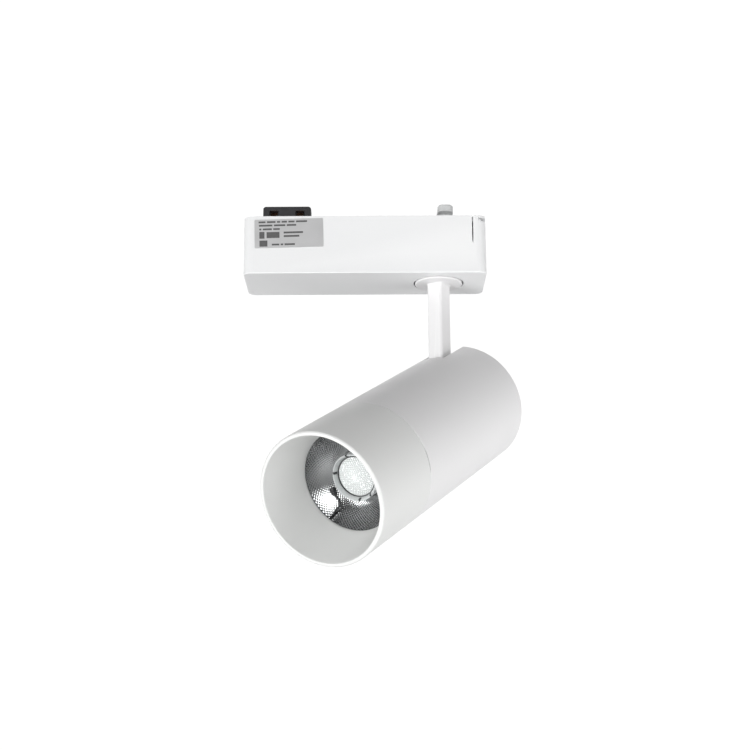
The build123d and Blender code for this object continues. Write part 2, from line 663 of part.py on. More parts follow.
def front_tube():
    """The front tube: a screwed spigot, the cover's seat and the flared recess."""
    skin = HEAD_BORE
    flare = (RECESS_FRONT_RADIUS - RECESS_BACK_RADIUS) / (FRONT_END - RECESS_BACK)
    cone_wall = 1.9
    meet = RECESS_BACK + (skin - RECESS_BACK_RADIUS - cone_wall) / flare
    start = SEAM + SEAM_GAP
    outline = [(27.85, SEAM - 10), (27.85, start), (HEAD_RADIUS - 0.3, start), (HEAD_RADIUS, start + 0.3)]
    outline += [(HEAD_RADIUS, FRONT_END - 0.7), (HEAD_RADIUS - 0.7, FRONT_END)]
    outline += [(RECESS_FRONT_RADIUS + 0.3, FRONT_END), (RECESS_FRONT_RADIUS, FRONT_END - 0.3)]
    outline += [(RECESS_BACK_RADIUS, RECESS_BACK), (RECESS_BACK_RADIUS, COVER_SEAT)]
    outline += [(RECESS_BACK_RADIUS + cone_wall, COVER_SEAT), (RECESS_BACK_RADIUS + cone_wall, RECESS_BACK)]
    outline += [(skin, meet), (skin, start + 2.0), (26.7, start), (26.7, SEAM - 10)]
    return [turned(outline)]


def lead_connector():
    """The small two-pin plug beside the bezel."""
    plug = block(-1.25, 1.25, -2.3, 2.3, 84.7, 86.5)
    plug = fillet(plug.edges().filter_by(Axis.Z), 0.35)
    return [Pos(*CONNECTOR_PLACE) * Rot(0, 0, CONNECTOR_TURN) * plug]


def lamp_lead():
    """The lamp's wire: up behind the heatsink, through it and over the reflector to the plug."""
    low = on_circle(LEAD_RADIUS, LEAD_ANGLE)
    high = on_circle(23.9, LEAD_ANGLE)
    inside = on_circle(21.6, LEAD_ANGLE)
    points = [(-3.0, 13.5, 3.0), (-10.5, 11.0, 7.5), (-15.3, 3.0, 10.0), (-16.6, -7.0, 13.0)]
    points += [(low[0], low[1], 21.5), (low[0] + 0.02, low[1], 44.0), (low[0], low[1], 66.0)]
    points += [(high[0], high[1], 77.0), (high[0], high[1], 84.0), (inside[0], inside[1], 86.3)]
    points += [(-13.2, -13.1, 86.5), (-11.0, -11.7, 86.0), (-10.7, -9.6, 85.6), (-12.4, -6.9, 85.6)]
    return [lead(points, 0.5)]


def write_adapter():
    """Write the box, its contacts and the driver."""
    save("adapter_housing", adapter_housing())
    save("top_cover", top_cover())
    save("cover_screws", cover_screws())
    save("contact_nib", contact_nib())
    save("live_contact", contact(NIB_X - 6.5, -1))
    save("neutral_contact", contact(NIB_X, 1))
    save("earth_contact", contact(NIB_X + 6.5, -1))
    save("rating_label", rating_label())
    save("driver_board", driver_board())
    save("board_screws", board_screws())
    save("transformer_core", transformer_core())
    save("transformer_winding", transformer_winding())
    save("input_capacitor", input_capacitor())
    save("bulk_capacitor", can(-30.5, -7.0, 5.0, 14.0))
    save("output_capacitor", can(4.5, 9.0, 4.0, 12.5))
    save("filter_choke", filter_choke())
    save("bridge_rectifier", bridge_rectifier())
    save("fuse", fuse())
    save("output_terminal", output_terminal())
    save("supply_leads", supply_leads())
    save("output_lead", output_lead())
    save("swivel_plate", swivel_plate())
    save("plate_screws", plate_screws())
    save("stop_peg", stop_peg())


def write_swivel_and_lock():
    """Write the stem with its fastenings and the track lock."""
    save("stem", stem(), SWIVEL)
    save("swivel_nipple", swivel_nipple(), SWIVEL)
    save("friction_washer", friction_washer(), SWIVEL)
    save("stop_washer", stop_washer(), SWIVEL)
    save("spring_washer", spring_washer(), SWIVEL)
    save("swivel_nut", swivel_nut(), SWIVEL)
    save("stem_lead", stem_lead(), SWIVEL)
    save("lock_cam", lock_cam())
    save("lock_lever", lock_lever())
    save("lever_screw", lever_screw())


def write_head():
    """Write the lamp head."""
    save("rear_housing", rear_housing(), HEAD)
    save("rear_cap", rear_cap(), HEAD)
    save("cap_screws", cap_screws(), HEAD)
    save("heatsink", heatsink(), HEAD)
    save("yoke", yoke(), HEAD)
    save("yoke_screws", yoke_screws(), HEAD)
    save("pivot_bolt", pivot_bolt(), HEAD)
    save("pivot_nut", pivot_nut(), HEAD)
    save("pivot_washers", pivot_washers(), HEAD)
    save("thermal_pad", thermal_pad(), HEAD)
    save("led_board", led_board(), HEAD)
    save("led_emitter", led_emitter(), HEAD)
    save("led_holder", led_holder(), HEAD)
    save("holder_screws", holder_screws(), HEAD)
    save("lens_barrel", lens_barrel(), HEAD)
    save("lens", lens(), HEAD)
    save("reflector", reflector(), HEAD)
    save("clear_cover", clear_cover(), HEAD)
    save("lens_holder", lens_holder(), HEAD)
    save("front_tube", front_tube(), HEAD)
    save("lead_connector", lead_connector(), HEAD)
    save("lamp_lead", lamp_lead(), HEAD)


write_adapter()
write_swivel_and_lock()
write_head()
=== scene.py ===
import json
from math import atan2, cos, hypot, pi, radians, sin, sqrt

import bmesh
import bpy
from mathutils import Matrix, Vector


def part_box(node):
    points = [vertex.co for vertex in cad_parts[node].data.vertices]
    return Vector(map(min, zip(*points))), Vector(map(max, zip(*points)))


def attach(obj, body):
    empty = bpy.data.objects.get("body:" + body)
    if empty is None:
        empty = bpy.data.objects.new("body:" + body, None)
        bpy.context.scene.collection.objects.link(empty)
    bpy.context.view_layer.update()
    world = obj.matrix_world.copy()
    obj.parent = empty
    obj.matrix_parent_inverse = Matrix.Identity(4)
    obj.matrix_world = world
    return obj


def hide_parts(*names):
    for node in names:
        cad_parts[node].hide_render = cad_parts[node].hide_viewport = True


# The looks of the track spotlight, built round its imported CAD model. Blender's lengths are metres.
# Pieces made here are drawn in millimetres, most of them in the frame of the lamp head.

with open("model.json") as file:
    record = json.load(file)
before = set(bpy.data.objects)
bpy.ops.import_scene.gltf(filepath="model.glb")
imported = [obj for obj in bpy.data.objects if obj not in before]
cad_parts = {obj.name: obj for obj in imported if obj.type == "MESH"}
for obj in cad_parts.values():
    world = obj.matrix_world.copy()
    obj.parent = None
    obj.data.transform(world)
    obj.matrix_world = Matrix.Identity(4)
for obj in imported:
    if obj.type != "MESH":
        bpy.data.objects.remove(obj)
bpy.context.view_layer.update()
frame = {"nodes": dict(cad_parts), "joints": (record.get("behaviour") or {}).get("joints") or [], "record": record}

MM = 0.001
FULL_TURN = 2 * pi


# ---- Where things are, from the frame ----

joints = {joint["name"]: joint for joint in frame["joints"]}
PIVOT = Vector(joints["tilt"]["pos_m"])
HINGE = Vector(joints["tilt"]["axis"]).normalized()


def middle(node):
    """The middle of a CAD node's box."""
    low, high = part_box(node)
    return (low + high) / 2


AIM = (middle("clear_cover") - PIVOT).normalized()
HEAD_TOP = AIM.cross(HINGE)


def placed(origin, x_axis, y_axis, z_axis):
    """The matrix that takes millimetres in a frame with those axes to the object's metres."""
    turn = Matrix((x_axis, y_axis, z_axis)).transposed().to_4x4()
    return Matrix.Translation(origin) @ turn @ Matrix.Scale(MM, 4)


HEAD = placed(PIVOT, HINGE, HEAD_TOP, AIM)


# ---- Camera, floor and light ----

CAMERA_PLACE = Vector((0.00456, -0.67266, -0.25282))
CAMERA_PITCH = 14.66
CAMERA_ROLL = -0.3
CAMERA_LENS = 68.4
FLOOR_LEVEL = -1.5
FLOOR_RADIUS = 14.0
LIGHT_TARGET = Vector((0, 0, -0.08))
# Each light: its place, its size and its power.
LIGHTS = {
    "left_box": ((-1.15, -0.95, -0.5), 0.8, 17.6),
    "right_box": ((1.4, -0.3, -0.5), 0.8, 8.0),
    "front_box": ((0, -1.6, -0.16), 0.8, 7.0),
    "low_box": ((0.45, -0.3, -1.15), 0.5, 3.0),
}
BACKDROP_LEVEL = 1.05
WORLD_BASE = 0.12
# Each glow: its direction, the angles from it where it starts to fade and has gone, and its strength.
WORLD_GLOWS = [
    ((0, 1, 0.25), 40, 65, 0.93),
    ((0.75, -0.65, 0), 5, 36, 1.3),
    ((0, 0, 1), 5, 50, 0.1),
]


def make_camera():
    """The camera below and in front of the box, looking a little upwards."""
    pitch, roll = radians(CAMERA_PITCH), radians(CAMERA_ROLL)
    forward = Vector((0, cos(pitch), sin(pitch)))
    level = Vector((1, 0, 0))
    upright = level.cross(forward)
    right = level * cos(roll) + upright * sin(roll)
    up = upright * cos(roll) - level * sin(roll)
    data = bpy.data.cameras.new("camera")
    data.lens = CAMERA_LENS
    camera = bpy.data.objects.new("camera", data)
    turn = Matrix((right, up, -forward)).transposed().to_4x4()
    camera.matrix_world = Matrix.Translation(CAMERA_PLACE) @ turn
    bpy.context.scene.collection.objects.link(camera)
    bpy.context.scene.camera = camera


def make_world():
    """A grey studio with broad soft glows, in front of a plain white backdrop."""
    world = bpy.data.worlds.new("studio")
    bpy.context.scene.world = world
    world.use_nodes = True
    tree = world.node_tree
    background = tree.nodes["Background"]
    place = tree.nodes.new("ShaderNodeTexCoord").outputs["Generated"]
    level = None
    for direction, inner, outer, strength in WORLD_GLOWS:
        total = tree.nodes.new("ShaderNodeMath")
        total.inputs[1].default_value = WORLD_BASE
        tree.links.new(world_glow(tree, place, direction, inner, outer, strength), total.inputs[0])
        if level:
            tree.links.new(level, total.inputs[1])
        level = total.outputs[0]
    seen = tree.nodes.new("ShaderNodeMix")
    tree.links.new(tree.nodes.new("ShaderNodeLightPath").outputs["Is Camera Ray"], seen.inputs[0])
    tree.links.new(level, seen.inputs[2])
    seen.inputs[3].default_value = BACKDROP_LEVEL
    tree.links.new(seen.outputs[0], background.inputs["Strength"])
    background.inputs["Color"].default_value = (1, 1, 1, 1)


def world_glow(tree, place, direction, inner, outer, strength):
    """A soft round glow in one direction, full up to the inner angle and gone at the outer one."""
    facing = tree.nodes.new("ShaderNodeVectorMath")
    facing.operation = "DOT_PRODUCT"
    tree.links.new(place, facing.inputs[0])
    facing.inputs[1].default_value = Vector(direction).normalized()
    lobe = tree.nodes.new("ShaderNodeMapRange")
    lobe.interpolation_type = "SMOOTHSTEP"
    lobe.inputs["From Min"].default_value = cos(radians(outer))
    lobe.inputs["From Max"].default_value = cos(radians(inner))
    lobe.inputs["To Max"].default_value = strength
    tree.links.new(facing.outputs["Value"], lobe.inputs["Value"])
    return lobe.outputs["Result"]


def make_lights():
    """Soft square lights that face the lamp."""
    for name, (place, size, power) in LIGHTS.items():
        data = bpy.data.lights.new(name, "AREA")
        data.size = size
        data.energy = power
        light = bpy.data.objects.new(name, data)
        light.location = place
        light.rotation_euler = (LIGHT_TARGET - Vector(place)).to_track_quat("-Z", "Y").to_euler()
        bpy.context.scene.collection.objects.link(light)


def make_floor():
    """The plain pale floor, well below the hanging lamp."""
    work = bmesh.new()
    bmesh.ops.create_circle(work, cap_ends=True, radius=FLOOR_RADIUS, segments=96)
    mesh = bpy.data.meshes.new("floor")
    work.to_mesh(mesh)
    work.free()
    mesh.transform(Matrix.Translation((0, 0, FLOOR_LEVEL)))
    mesh.materials.append(finish_of("floor_paint", (0.82, 0.82, 0.82), 0.6, mottle=0.02, mottle_scale=3))
    floor = bpy.data.objects.new("floor", mesh)
    bpy.context.scene.collection.objects.link(floor)


# ---- Materials ----

COAT_ROUGHNESS = 0.25
WORN_WHITE = (0.95, 0.95, 0.95)
WORN_FACTOR = 1.12
# Painted light: the lens gives off a glow of its own colour to look brighter in its shaded recess.
PAINTED_LENS_GLOW = 0.42
SPECK_SHADE = 0.985
GLOSS_PATCH_SCALE = 2.7
# The part of a pattern's range, or of the pointiness, over which each effect comes in.
SPECK_RANGE = (0.35, 0.65)
GLOSS_RANGE = (0.3, 0.7)
WEAR_RANGE = (0.52, 0.60)
# The pointiness over which the painted shade in hollows comes in.
PAINTED_HOLLOW_SHADE_RANGE = (0.45, 0.57)
CLEAR_TINT = (0.975, 0.985, 0.985, 1)
CLEAR_ROUGHNESS = 0.03
CLEAR_IOR = 1.3


def finish_of(name, colour, roughness, metal=0.0, mottle=0.03, mottle_scale=40, grain=900, grain_depth=0.0,
              peel=0, peel_depth=0.0, rough_swing=0.06, coat=0.0, wear=0.0, wear_colour=None, stretch=None,
              painted_hollow_shade=0.0):
    """A surface with mottled colour, fine specks, two sizes of relief, uneven gloss and worn edges.

    Depths are in millimetres. Wear lightens the sharp edges, and a painted shade darkens the hollows.
    """
    material = bpy.data.materials.new(name)
    material.use_nodes = True
    tree = material.node_tree
    shader = tree.nodes["Principled BSDF"]
    shader.inputs["Metallic"].default_value = metal
    shader.inputs["Coat Weight"].default_value = coat
    shader.inputs["Coat Roughness"].default_value = COAT_ROUGHNESS
    place = tree.nodes.new("ShaderNodeTexCoord").outputs["Object"]
    cloud = noise(tree, place, mottle_scale, 4.0)
    base = mixed(tree, cloud, shade(colour, 1 - mottle), shade(colour, 1 + mottle))
    fine = noise(tree, stretched(tree, place, stretch), grain, 2.0)
    base = multiplied(tree, base, spread(tree, fine, *SPECK_RANGE, SPECK_SHADE, 1.0))
    if wear:
        mask = spread(tree, pointiness(tree), *WEAR_RANGE, 0.0, wear)
        base = mixed(tree, mask, base, wear_colour or shade(colour, WORN_FACTOR))
    # Painted shade: hollows, found by pointiness, are darkened in the colour itself.
    if painted_hollow_shade:
        base = multiplied(tree, base, spread(tree, pointiness(tree), *PAINTED_HOLLOW_SHADE_RANGE, 1 - painted_hollow_shade, 1.0))
    tree.links.new(base, shader.inputs["Base Color"])
    patch = noise(tree, place, mottle_scale * GLOSS_PATCH_SCALE, 3.0)
    gloss = spread(tree, patch, *GLOSS_RANGE, roughness - rough_swing, roughness + rough_swing)
    tree.links.new(gloss, shader.inputs["Roughness"])
    relief = None
    if peel_depth:
        relief = bumped(tree, noise(tree, place, peel, 1.0), peel_depth, relief)
    if grain_depth:
        relief = bumped(tree, fine, grain_depth, relief)
    if relief:
        tree.links.new(relief, shader.inputs["Normal"])
    return material


def shade(colour, factor):
    """A colour made lighter or darker."""
    return tuple(min(1.0, channel * factor) for channel in colour[:3])


def stretched(tree, place, stretch):
    """The same place, or one scaled along each axis for a grain with a direction."""
    if not stretch:
        return place
    mapping = tree.nodes.new("ShaderNodeMapping")
    mapping.inputs["Scale"].default_value = stretch
    tree.links.new(place, mapping.inputs["Vector"])
    return mapping.outputs["Vector"]


def pointiness(tree):
    """How sharply the surface bulges: over a half on edges, and under a half in hollows."""
    return tree.nodes.new("ShaderNodeNewGeometry").outputs["Pointiness"]


def noise(tree, place, scale, detail):
    """A noise pattern's height."""
    node = tree.nodes.new("ShaderNodeTexNoise")
    node.inputs["Scale"].default_value = scale
    node.inputs["Detail"].default_value = detail
    tree.links.new(place, node.inputs["Vector"])
    return node.outputs["Fac"]


def spread(tree, value, low, high, new_low, new_high):
    """A value's range low to high, taken to a new range and held there."""
    node = tree.nodes.new("ShaderNodeMapRange")
    for name, number in (("From Min", low), ("From Max", high), ("To Min", new_low), ("To Max", new_high)):
        node.inputs[name].default_value = number
    tree.links.new(value, node.inputs["Value"])
    return node.outputs["Result"]


def feed(tree, socket, value):
    """Put a colour, or another node's output, into a socket."""
    if isinstance(value, bpy.types.NodeSocket):
        tree.links.new(value, socket)
    else:
        socket.default_value = (*value, 1.0)


def mixed(tree, factor, first, second):
    """A blend of two colours."""
    node = tree.nodes.new("ShaderNodeMix")
    node.data_type = "RGBA"
    tree.links.new(factor, node.inputs[0])
    feed(tree, node.inputs[6], first)
    feed(tree, node.inputs[7], second)
    return node.outputs[2]


def multiplied(tree, colour, value):
    """A colour times a grey value."""
    node = tree.nodes.new("ShaderNodeVectorMath")
    node.operation = "SCALE"
    tree.links.new(colour, node.inputs[0])
    tree.links.new(value, node.inputs["Scale"])
    return node.outputs[0]


def bumped(tree, height, depth, below=None):
    """A normal with that height pattern raised by depth millimetres."""
    node = tree.nodes.new("ShaderNodeBump")
    node.inputs["Distance"].default_value = depth * MM
    tree.links.new(height, node.inputs["Height"])
    if below:
        tree.links.new(below, node.inputs["Normal"])
    return node.outputs["Normal"]


def clear_finish(name):
    """A clear sheet: see-through, with a faint gloss that grows towards its edges."""
    material = bpy.data.materials.new(name)
    material.use_nodes = True
    tree = material.node_tree
    tree.nodes.remove(tree.nodes["Principled BSDF"])
    output = tree.nodes["Material Output"]
    through = tree.nodes.new("ShaderNodeBsdfTransparent")
    through.inputs["Color"].default_value = CLEAR_TINT
    gloss = tree.nodes.new("ShaderNodeBsdfGlossy")
    gloss.inputs["Roughness"].default_value = CLEAR_ROUGHNESS
    facing = tree.nodes.new("ShaderNodeFresnel")
    facing.inputs["IOR"].default_value = CLEAR_IOR
    mix = tree.nodes.new("ShaderNodeMixShader")
    tree.links.new(facing.outputs[0], mix.inputs[0])
    tree.links.new(through.outputs[0], mix.inputs[1])
    tree.links.new(gloss.outputs[0], mix.inputs[2])
    tree.links.new(mix.outputs[0], output.inputs["Surface"])
    return material


def pearl_finish(name):
    """Milky moulded plastic with a soft gloss and a little painted glow, with painted shade between the beads."""
    material = finish_of(name, (0.88, 0.90, 0.89), 0.22, mottle=0.01, grain=1500, rough_swing=0.05,
                         coat=0.4, painted_hollow_shade=0.65)
    tree = material.node_tree
    shader = tree.nodes["Principled BSDF"]
    # Painted glow: the lens's colour, with its painted shade between the beads, is also given off as light.
    tree.links.new(shader.inputs["Base Color"].links[0].from_socket, shader.inputs["Emission Color"])
    shader.inputs["Emission Strength"].default_value = PAINTED_LENS_GLOW
    return material


# Each slot's colour and roughness.
METALS = {
    "copper": ((0.85, 0.50, 0.32), 0.25),
    "brass": ((0.80, 0.64, 0.36), 0.28),
    "zinc_steel": ((0.66, 0.67, 0.69), 0.32),
    "aluminium": ((0.76, 0.77, 0.78), 0.30),
}
PLAIN_FINISHES = {
    "grey_plastic": ((0.66, 0.67, 0.67), 0.40),
    "dark_plastic": ((0.035, 0.035, 0.038), 0.38),
    "fibre": ((0.30, 0.14, 0.08), 0.75),
    "circuit_board": ((0.02, 0.16, 0.06), 0.35),
    "ferrite": ((0.06, 0.06, 0.065), 0.55),
    "winding_tape": ((0.82, 0.62, 0.10), 0.30),
    "film_yellow": ((0.78, 0.58, 0.08), 0.22),
    "can_sleeve": ((0.03, 0.035, 0.06), 0.25),
    "terminal_green": ((0.06, 0.30, 0.12), 0.42),
    "wire_sheath": ((0.80, 0.80, 0.79), 0.50),
    "black_wire": ((0.02, 0.02, 0.022), 0.42),
    "pad_grey": ((0.36, 0.37, 0.40), 0.70),
    "white_board": ((0.85, 0.86, 0.85), 0.35),
    "phosphor": ((0.85, 0.62, 0.12), 0.50),
    "white_plastic": ((0.86, 0.86, 0.85), 0.42),
}
WHITE_SHELLS = {
    "white_box": {"colour": (0.815, 0.82, 0.825), "roughness": 0.42, "mottle_scale": 18, "grain": 2600,
                  "grain_depth": 0.010, "peel": 420, "peel_depth": 0.006},
    "white_metal": {"colour": (0.805, 0.80, 0.805), "roughness": 0.44, "mottle_scale": 22, "grain": 3000,
                    "grain_depth": 0.008, "peel": 900, "peel_depth": 0.012, "coat": 0.15},
    "white_front": {"colour": (0.775, 0.78, 0.77), "roughness": 0.42, "mottle_scale": 22, "grain": 3000,
                    "grain_depth": 0.008, "peel": 900, "peel_depth": 0.010, "coat": 0.15},
}


def make_materials():
    """One finish for each of the record's material slots, and the label's ink."""
    finishes = {}
    for slot, (colour, roughness) in METALS.items():
        finishes[slot] = finish_of(slot, colour, roughness, metal=1.0, mottle=0.05, mottle_scale=120,
                                   grain=700, grain_depth=0.012, rough_swing=0.08, stretch=(1, 1, 9),
                                   wear=0.4)
    for slot, (colour, roughness) in PLAIN_FINISHES.items():
        finishes[slot] = finish_of(slot, colour, roughness, mottle=0.06, mottle_scale=150, grain=1800,
                                   grain_depth=0.012, wear=0.25)
    for slot, settings in WHITE_SHELLS.items():
        finishes[slot] = finish_of(slot, mottle=0.008, wear=0.3, wear_colour=WORN_WHITE, **settings)
    finishes["label"] = finish_of("label", (0.60, 0.60, 0.605), 0.34, metal=0.35, mottle=0.04,
                                  mottle_scale=60, grain=1400, grain_depth=0.004, stretch=(0.2, 1, 6))
    finishes["label_ink"] = finish_of("label_ink", (0.10, 0.10, 0.10), 0.5, mottle=0.25, mottle_scale=900,
                                      grain=2500)
    finishes["silver"] = finish_of("silver", (0.60, 0.60, 0.605), 0.07, metal=1.0, mottle=0.03,
                                   mottle_scale=90, grain=1200, rough_swing=0.03)
    finishes["clear"] = clear_finish("clear")
    finishes["pearl_lens"] = pearl_finish("pearl_lens")
    return finishes


# ---- Making pieces ----

MERGE_GAP = 0.0005
CAD_MERGE_GAP = 1e-7
EASING_STEPS = 4
# The most of an outline's side that one corner's curve may take.
EASING_SHARE = 0.45
# In degrees: flatter edges than the first are dissolved, and sharper ones than the second are eased.
FLAT_ANGLE = 0.4
SHARP_ANGLE = 40


def new_piece(name, mesh, body, slot, *nodes, smooth_angle=35, finish=None):
    """Turn a mesh into a piece that rides on a body and stands for CAD nodes."""
    piece = bpy.data.objects.new(name, mesh)
    bpy.context.scene.collection.objects.link(piece)
    mesh.materials.clear()
    mesh.materials.append(FINISHES[finish or slot])
    if smooth_angle:
        smooth(mesh, smooth_angle)
    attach(piece, body)
    if nodes:
        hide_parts(*nodes)
    return piece


def smooth(mesh, angle):
    """Shade smooth, except across edges sharper than the angle."""
    work = bmesh.new()
    work.from_mesh(mesh)
    for face in work.faces:
        face.smooth = True
    limit = radians(angle)
    for edge in work.edges:
        edge.smooth = len(edge.link_faces) == 2 and edge.calc_face_angle(0) < limit
    work.to_mesh(mesh)
    work.free()


def mesh_from(work, name, matrix):
    """A mesh from a bmesh, moved to the object's frame."""
    bmesh.ops.remove_doubles(work, verts=work.verts, dist=MERGE_GAP)
    bmesh.ops.recalc_face_normals(work, faces=work.faces)
    mesh = bpy.data.meshes.new(name)
    work.to_mesh(mesh)
    work.free()
    mesh.transform(matrix)
    return mesh


def rounded(points, most):
    """An open outline with each inner corner eased by a curve that starts at most that far from it."""
    eased = [points[0]]
    for before, corner, after in zip(points, points[1:], points[2:]):
        to_before = Vector(before) - Vector(corner)
        to_after = Vector(after) - Vector(corner)
        reach = min(most, EASING_SHARE * to_before.length, EASING_SHARE * to_after.length)
        start = Vector(corner) + to_before.normalized() * reach
        end = Vector(corner) + to_after.normalized() * reach
        for step in range(EASING_STEPS + 1):
            share = step / EASING_STEPS
            first = start.lerp(Vector(corner), share)
            second = Vector(corner).lerp(end, share)
            eased.append(tuple(first.lerp(second, share)))
    eased.append(points[-1])
    return eased


def ring_of(work, radius, segments, height_at):
    """A circle of vertices about Z, each at the height for its x and y."""
    ring = []
    for step in range(segments):
        angle = FULL_TURN * step / segments
        x, y = radius * cos(angle), radius * sin(angle)
        ring.append(work.verts.new((x, y, height_at(x, y))))
    return ring


def bridge(work, lower, upper):
    """A band of faces between two loops with the same number of vertices."""
    for step in range(len(lower)):
        after = (step + 1) % len(lower)
        work.faces.new((lower[step], lower[after], upper[after], upper[step]))


def lathe(outline, segments, closed=True):
    """A bmesh turned about Z from (radius, station) points."""
    work = bmesh.new()
    rings = [ring_of(work, radius, segments, lambda x, y: station) for radius, station in outline]
    for lower, upper in zip(rings, rings[1:]):
        bridge(work, lower, upper)
    if closed:
        bridge(work, rings[-1], rings[0])
    return work


def applied(mesh, modifiers):
    """A mesh with modifiers applied. Each modifier is (kind, settings)."""
    holder = bpy.data.objects.new("holder", mesh)
    bpy.context.scene.collection.objects.link(holder)
    for kind, settings in modifiers:
        modifier = holder.modifiers.new(kind, kind)
        for key, value in settings.items():
            setattr(modifier, key, value)
    bpy.context.view_layer.update()
    result = bpy.data.meshes.new_from_object(holder.evaluated_get(bpy.context.evaluated_depsgraph_get()))
    bpy.data.objects.remove(holder)
    return result


def eased_copy(node, width):
    """A CAD node's mesh with its sharp edges eased by a small bevel, width in millimetres."""
    work = bmesh.new()
    work.from_mesh(frame["nodes"][node].data)
    bmesh.ops.remove_doubles(work, verts=work.verts, dist=CAD_MERGE_GAP)
    bmesh.ops.dissolve_limit(work, angle_limit=radians(FLAT_ANGLE), verts=work.verts, edges=work.edges)
    for face in work.faces:
        face.smooth = True
    mesh = bpy.data.meshes.new(node + "_eased")
    work.to_mesh(mesh)
    work.free()
    bevel = {"width": width * MM, "segments": 2, "limit_method": "ANGLE", "use_clamp_overlap": True,
             "angle_limit": radians(SHARP_ANGLE)}
    return applied(mesh, [("BEVEL", bevel), ("WEIGHTED_NORMAL", {"weight": 100})])


def dress_cad_nodes():
    """Give every CAD node its slot's finish, and return the slots by node."""
    slots = {entry["node"]: entry["material_slot"] for entry in frame["record"]["subparts"]}
    for name, node in frame["nodes"].items():
        node.data.materials.clear()
        node.data.materials.append(FINISHES[slots[name]])
    return slots


# Each node with eased edges: its piece's name, its body and the bevel's width in millimetres.
EASED_NODES = {
    "adapter_housing": ("housing_shell", "adapter", 0.22),
    "top_cover": ("cover_plate", "adapter", 0.2),
    "contact_nib": ("track_nib", "adapter", 0.25),
    "lock_cam": ("locking_cam", "lock", 0.25),
    "lock_lever": ("locking_lever", "lock", 0.2),
    "stem": ("stem_bar", "swivel", 0.15),
    "rear_cap": ("rear_cap_plate", "head", 0.2),
    "rear_housing": ("rear_tube", "head", 0.2),
    "live_contact": ("live_blade", "adapter", 0.08),
    "neutral_contact": ("neutral_blade", "adapter", 0.08),
    "earth_contact": ("earth_blade", "adapter", 0.08),
}


def ease_shells(slots):
    """Pieces with eased edges in place of the sharp-edged CAD ones."""
    for node, (name, body, width) in EASED_NODES.items():
        new_piece(name, eased_copy(node, width), body, slots[node], node, smooth_angle=None)


# ---- The label's print ----

LABEL_LENGTH = 33.5
LABEL_HEIGHT = 14.8
LABEL_TURN = 1.4
WORD_GAP = 0.7
INK_SINK = 0.01
INK_RISE = 0.015
# Each row: where it starts, as shares of the label across and down; its words' lengths; and its height.
LABEL_ROWS = [
    ((0.06, 0.095), (3.4, 4.2, 1.6, 2.6, 3.0, 5.4), 0.9),
    ((0.065, 0.215), (6.6, 5.6, 4.6), 0.9),
    ((0.07, 0.345), (1.0, 4.4, 3.2), 0.9),
    ((0.425, 0.475), (9.4,), 0.95),
    ((0.425, 0.60), (7.6,), 0.95),
    ((0.25, 0.885), (3.6, 1.2, 5.0), 0.9),
    ((0.07, 0.55), (2.5,), 3.5),
    ((0.175, 0.55), (6.3,), 3.1),
    ((0.07, 0.84), (3.9,), 3.1),
]


def label_print():
    """Plain bars on the label where a rating plate has its rows of print. They say nothing."""
    low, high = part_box("rating_label")
    front = Vector(((low.x + high.x) / 2, low.y, (low.z + high.z) / 2))
    face = placed(front, Vector((1, 0, 0)), Vector((0, 0, 1)), Vector((0, -1, 0)))
    face = face @ Matrix.Rotation(radians(LABEL_TURN), 4, "Z")
    work = bmesh.new()
    for (across, down), words, tall in LABEL_ROWS:
        start = (across - 0.5) * LABEL_LENGTH
        middle_line = (0.5 - down) * LABEL_HEIGHT
        for word in words:
            ink_bar(work, start, start + word, middle_line - tall / 2, middle_line + tall / 2)
            start += word + WORD_GAP
    new_piece("label_print", mesh_from(work, "label_print", face), "adapter", "label", finish="label_ink")


def ink_bar(work, left, right, bottom, top):
    """One printed bar, its sides sunk just under the label's face."""
    corners = [(left, bottom), (right, bottom), (right, top), (left, top)]
    lower = [work.verts.new((x, y, -INK_SINK)) for x, y in corners]
    upper = [work.verts.new((x, y, INK_RISE)) for x, y in corners]
    work.faces.new(upper)
    bridge(work, lower, upper)


# ---- The head's front, in its own frame: X along the tilt pin, Y to the top, Z forward ----
# Outlines are (radius, station) points. Stations are measured along Z from the tilt pin.

FRONT_SEGMENTS = 192
TUBE_RADIUS, TUBE_BORE = 30.0, 28.0
TUBE_BACK, TUBE_FRONT = 71.5, 115.0
SPIGOT_RADIUS, SPIGOT_BORE, SPIGOT_END = 27.85, 26.7, 61.2
LIP_RADIUS, LIP_BACK, LIP_FRONT = 23.0, 88.7, 90.5
COVER_SEAT_RADIUS = 24.9
RIM_CHAMFER = 0.7
TUBE_EASING = 0.45

DISH_BASE, DISH_MIDDLE, DISH_MOUTH = (11.2, 79.0), (17.6, 82.6), (23.7, 87.5)
DISH_BACK_BASE, DISH_BACK_MIDDLE, DISH_BACK_MOUTH = (12.0, 77.8), (18.4, 81.5), (24.6, 86.2)
DISH_RIM_RADIUS = 26.2
DISH_BACK_STEPS = 8
FACETS_AROUND = 84
FACET_ROWS = 12
FACET_STEPS = 4
FACET_RISE = 0.05
LEAD_ANGLE = 225
NOTCH_HALF_WIDTH = 0.7
NOTCH = [(21.3, 82.0), (28.0, 82.0), (28.0, 89.0), (21.3, 89.0)]

LENS_RADIUS, DOME_TOP, DOME_RISE, LENS_BACK = 8.88, 86.3, 2.6, 63.0
LENS_BODY = [(LENS_RADIUS, 83.5), (LENS_RADIUS, 70.0), (5.5, LENS_BACK)]
LENS_HOLLOW = 3.0
LENS_SEGMENTS = 240
DOME_RINGS = 84
BEADS_RADIUS = LENS_RADIUS - 0.25
BEAD_PITCH = 1.0
BEAD_RISE = 0.34
# How far a bead reaches from its middle, as a share of the pitch.
BEAD_REACH = 0.58
# The height of a bead in the lens's middle, as a share of one at its edge.
MIDDLE_BEADS = 0.35

